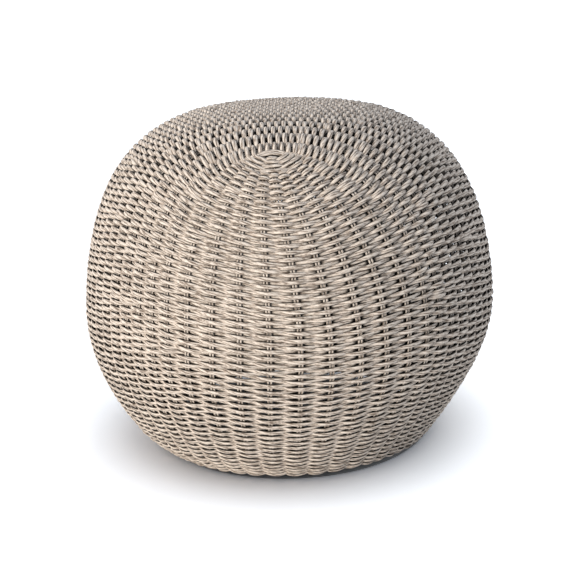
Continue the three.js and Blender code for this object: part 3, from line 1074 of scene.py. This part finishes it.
class OTTOMAN_OT_border(bpy.types.Operator):
    """Build the border: a twisted rope that closes the weave inside the foot"""

    bl_idname = "ottoman.border"
    bl_label = "Border"

    samples = 760
    sides = 8
    rounds = 2
    twist_radius = 0.42
    inset = 0.75
    width = 0.9

    def execute(self, context):
        outline = Outline(settings().body)
        sizes = settings().cord
        turns = (settings().weave.stakes + 1) // 2
        turn = np.linspace(0, self.rounds * FULL, self.rounds * self.samples + 1)
        phase = turn * (turns + 1 / self.rounds)
        across = sizes.width * self.twist_radius
        arc = outline.length - sizes.width * self.inset + across * np.sin(phase)
        points, normals = outline.place(arc, turn, across * np.cos(phase))
        rope = tube(points, normals, sizes.width * self.width, sizes.thickness, self.sides)
        cord_mesh("border_rope", [rope], cord_material(**WEAVER_CORD), BORDER)
        return {"FINISHED"}


class OTTOMAN_OT_frame_finish(bpy.types.Operator):
    """Give the frame, the glides, the screws and the nuts their finishes"""

    bl_idname = "ottoman.frame_finish"
    bl_label = "Frame finish"

    coat = dict(worn_share=1.5, roughness=0.5, metallic=0.0, grain_scale=1500.0, grain_depth=0.0003)
    plastic = dict(worn_share=1.6, roughness=0.55, metallic=0.0, grain_scale=2200.0, grain_depth=0.0001)
    steel = dict(worn_share=0.75, roughness=0.35, metallic=1.0, grain_scale=1800.0, grain_depth=0.0001)

    def execute(self, context):
        finish = settings().finish
        coat = hard_material("powder_coat", finish.frame_coat, **self.coat)
        plastic = hard_material("glide_plastic", finish.glide, **self.plastic)
        steel = hard_material("screw_steel", finish.steel, **self.steel)
        by_name = {"glide_plate": coat, "glide_screw": steel, "glide_nut": steel, "glide": plastic}
        for name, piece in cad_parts.items():
            if name in (SKIN, BORDER):
                continue
            chosen = next((by_name[start] for start in by_name if name.startswith(start)), coat)
            if not piece.material_slots:
                piece.data.materials.append(chosen)
            for place in piece.material_slots:
                place.material = chosen
        return {"FINISHED"}


class OTTOMAN_OT_stage(bpy.types.Operator):
    """Build the floor, the sky, the lamps and the camera"""

    bl_idname = "ottoman.stage"
    bl_label = "Stage"

    sensor = 36
    nearest = 0.05
    farthest = 100

    def floor(self, stage):
        """A wide floor of four corners, paler to the camera outside the foot.

        Under the foot it keeps its own colour, and from below it is clear.
        """
        reach = stage.floor_reach
        mesh = bpy.data.meshes.new("floor")
        corners = [(-reach, -reach, 0), (reach, -reach, 0), (reach, reach, 0), (-reach, reach, 0)]
        mesh.from_pydata(corners, [], [(0, 1, 2, 3)])
        material, tree, shader = new_material("floor_white")
        place = add_node(tree, "TexCoord")["Object"]
        away = add_node(tree, "VectorMath", {0: place}, operation="LENGTH")["Value"]
        outside = maths(tree, "GREATER_THAN", away, RING_RADIUS)
        bright = maths(tree, "MULTIPLY", ray_is(tree, "Camera", "Transmission"), outside)
        paler = [tone * stage.floor_seen for tone in stage.floor_tone]
        tone = mix_colours(tree, bright, stage.floor_tone, paler)
        feed(tree, shader, {"Base Color": tone, "Roughness": 0.9, "Specular IOR Level": 0.0})
        mixed = add_node(tree, "MixShader", {
            "Fac": add_node(tree, "NewGeometry")["Backfacing"],
            1: tree.nodes["Principled BSDF"].outputs["BSDF"],
            2: add_node(tree, "BsdfTransparent")["BSDF"]})
        feed(tree, tree.nodes["Material Output"].inputs, {"Surface": mixed["Shader"]})
        mesh.materials.append(material)
        floor = add_object("floor", mesh)
        return floor

    def sky(self, stage):
        """A world that lights plainly and is white to the camera."""
        world = bpy.data.worlds.new("studio")
        bpy.context.scene.world = world
        world.use_nodes = True
        tree = world.node_tree
        seen = ray_is(tree, "Camera", "Glossy", "Transmission")
        direction = add_node(tree, "TexCoord")["Generated"]
        height = add_node(tree, "SeparateXYZ", {"Vector": direction})["Z"]
        fill = remap(tree, height, 0.0, 1.0, stage.fill, stage.fill_above)
        feed(tree, tree.nodes["Background"].inputs, {
            "Strength": remap(tree, seen, 0.0, 1.0, fill, 1.0),
            "Color": mix_colours(tree, seen, stage.fill_colour, (1, 1, 1))})

    def lamp(self, name, strength, colour, softness, turn, rise, floor, state):
        """A far soft lamp from an angle round the object, which leaves out the floor or all else."""
        light = bpy.data.lights.new(name, "SUN")
        light.energy = strength
        light.angle = softness
        light.color = colour
        lamp = add_object(name, light)
        lamp.rotation_euler = (QUARTER - rise, 0, turn)
        receivers = bpy.data.collections.new(f"{name}_receivers")
        receivers.objects.link(floor)
        lamp.light_linking.receiver_collection = receivers
        receivers.collection_objects[0].light_linking.link_state = state

    def camera(self, stage, body):
        """The camera at the photograph's angle, aimed at the middle of the body."""
        data = bpy.data.cameras.new("camera")
        data.lens = stage.lens
        data.sensor_width = self.sensor
        data.clip_start = self.nearest
        data.clip_end = self.farthest
        data.shift_x = stage.shift_across
        data.shift_y = stage.shift_up
        camera = add_object("camera", data)
        rise = stage.camera_rise
        camera.location = (0, -stage.camera_distance * math.cos(rise),
                           body.height / 2 + stage.camera_distance * math.sin(rise))
        tilt = Matrix.Rotation(QUARTER - rise, 3, "X")
        roll = Matrix.Rotation(stage.camera_roll, 3, "Z")
        camera.rotation_euler = (tilt @ roll).to_euler("XYZ")
        bpy.context.scene.camera = camera

    def execute(self, context):
        stage = settings().stage
        context.scene.view_settings.view_transform = "Standard"
        floor = self.floor(stage)
        self.sky(stage)
        self.lamp("key", stage.key, stage.key_colour, stage.key_softness,
                  stage.key_turn, stage.key_rise, floor, "EXCLUDE")
        self.lamp("floor_lamp", stage.floor_light, (1, 1, 1), stage.floor_light_softness,
                  stage.floor_light_turn, stage.floor_light_rise, floor, "INCLUDE")
        self.camera(stage, settings().body)
        return {"FINISHED"}


class OTTOMAN_PT_panel(bpy.types.Panel):
    """Lists the ottoman's settings and its operators"""

    bl_idname = "OTTOMAN_PT_panel"
    bl_label = "Woven ottoman"
    bl_space_type = "VIEW_3D"
    bl_region_type = "UI"
    bl_category = "Ottoman"

    def draw(self, context):
        ottoman = context.scene.ottoman
        for group in (ottoman.body, ottoman.weave, ottoman.cord, ottoman.finish, ottoman.stage):
            box = self.layout.box()
            for name in type(group).__annotations__:
                box.prop(group, name)
        for operator in OPERATORS:
            self.layout.operator(operator.bl_idname)


OPERATORS = (OTTOMAN_OT_weaver, OTTOMAN_OT_ridge, OTTOMAN_OT_stakes, OTTOMAN_OT_border,
             OTTOMAN_OT_frame_finish, OTTOMAN_OT_stage)
CLASSES = (BodyShape, WeaveLayout, CordSizes, Finishes, StageSettings, OttomanSettings,
           *OPERATORS, OTTOMAN_PT_panel)


def register():
    """Registers the classes and hangs the settings on the scene."""
    for made in CLASSES:
        bpy.utils.register_class(made)
    bpy.types.Scene.ottoman = bpy.props.PointerProperty(type=OttomanSettings)


def unregister():
    """Takes the settings and the classes away again."""
    del bpy.types.Scene.ottoman
    for made in reversed(CLASSES):
        bpy.utils.unregister_class(made)


def main():
    """Builds every piece in order."""
    register()
    bpy.ops.ottoman.weaver()
    bpy.ops.ottoman.ridge()
    bpy.ops.ottoman.stakes()
    bpy.ops.ottoman.border()
    bpy.ops.ottoman.frame_finish()
    bpy.ops.ottoman.stage()


if __name__ == "__main__":
    main()
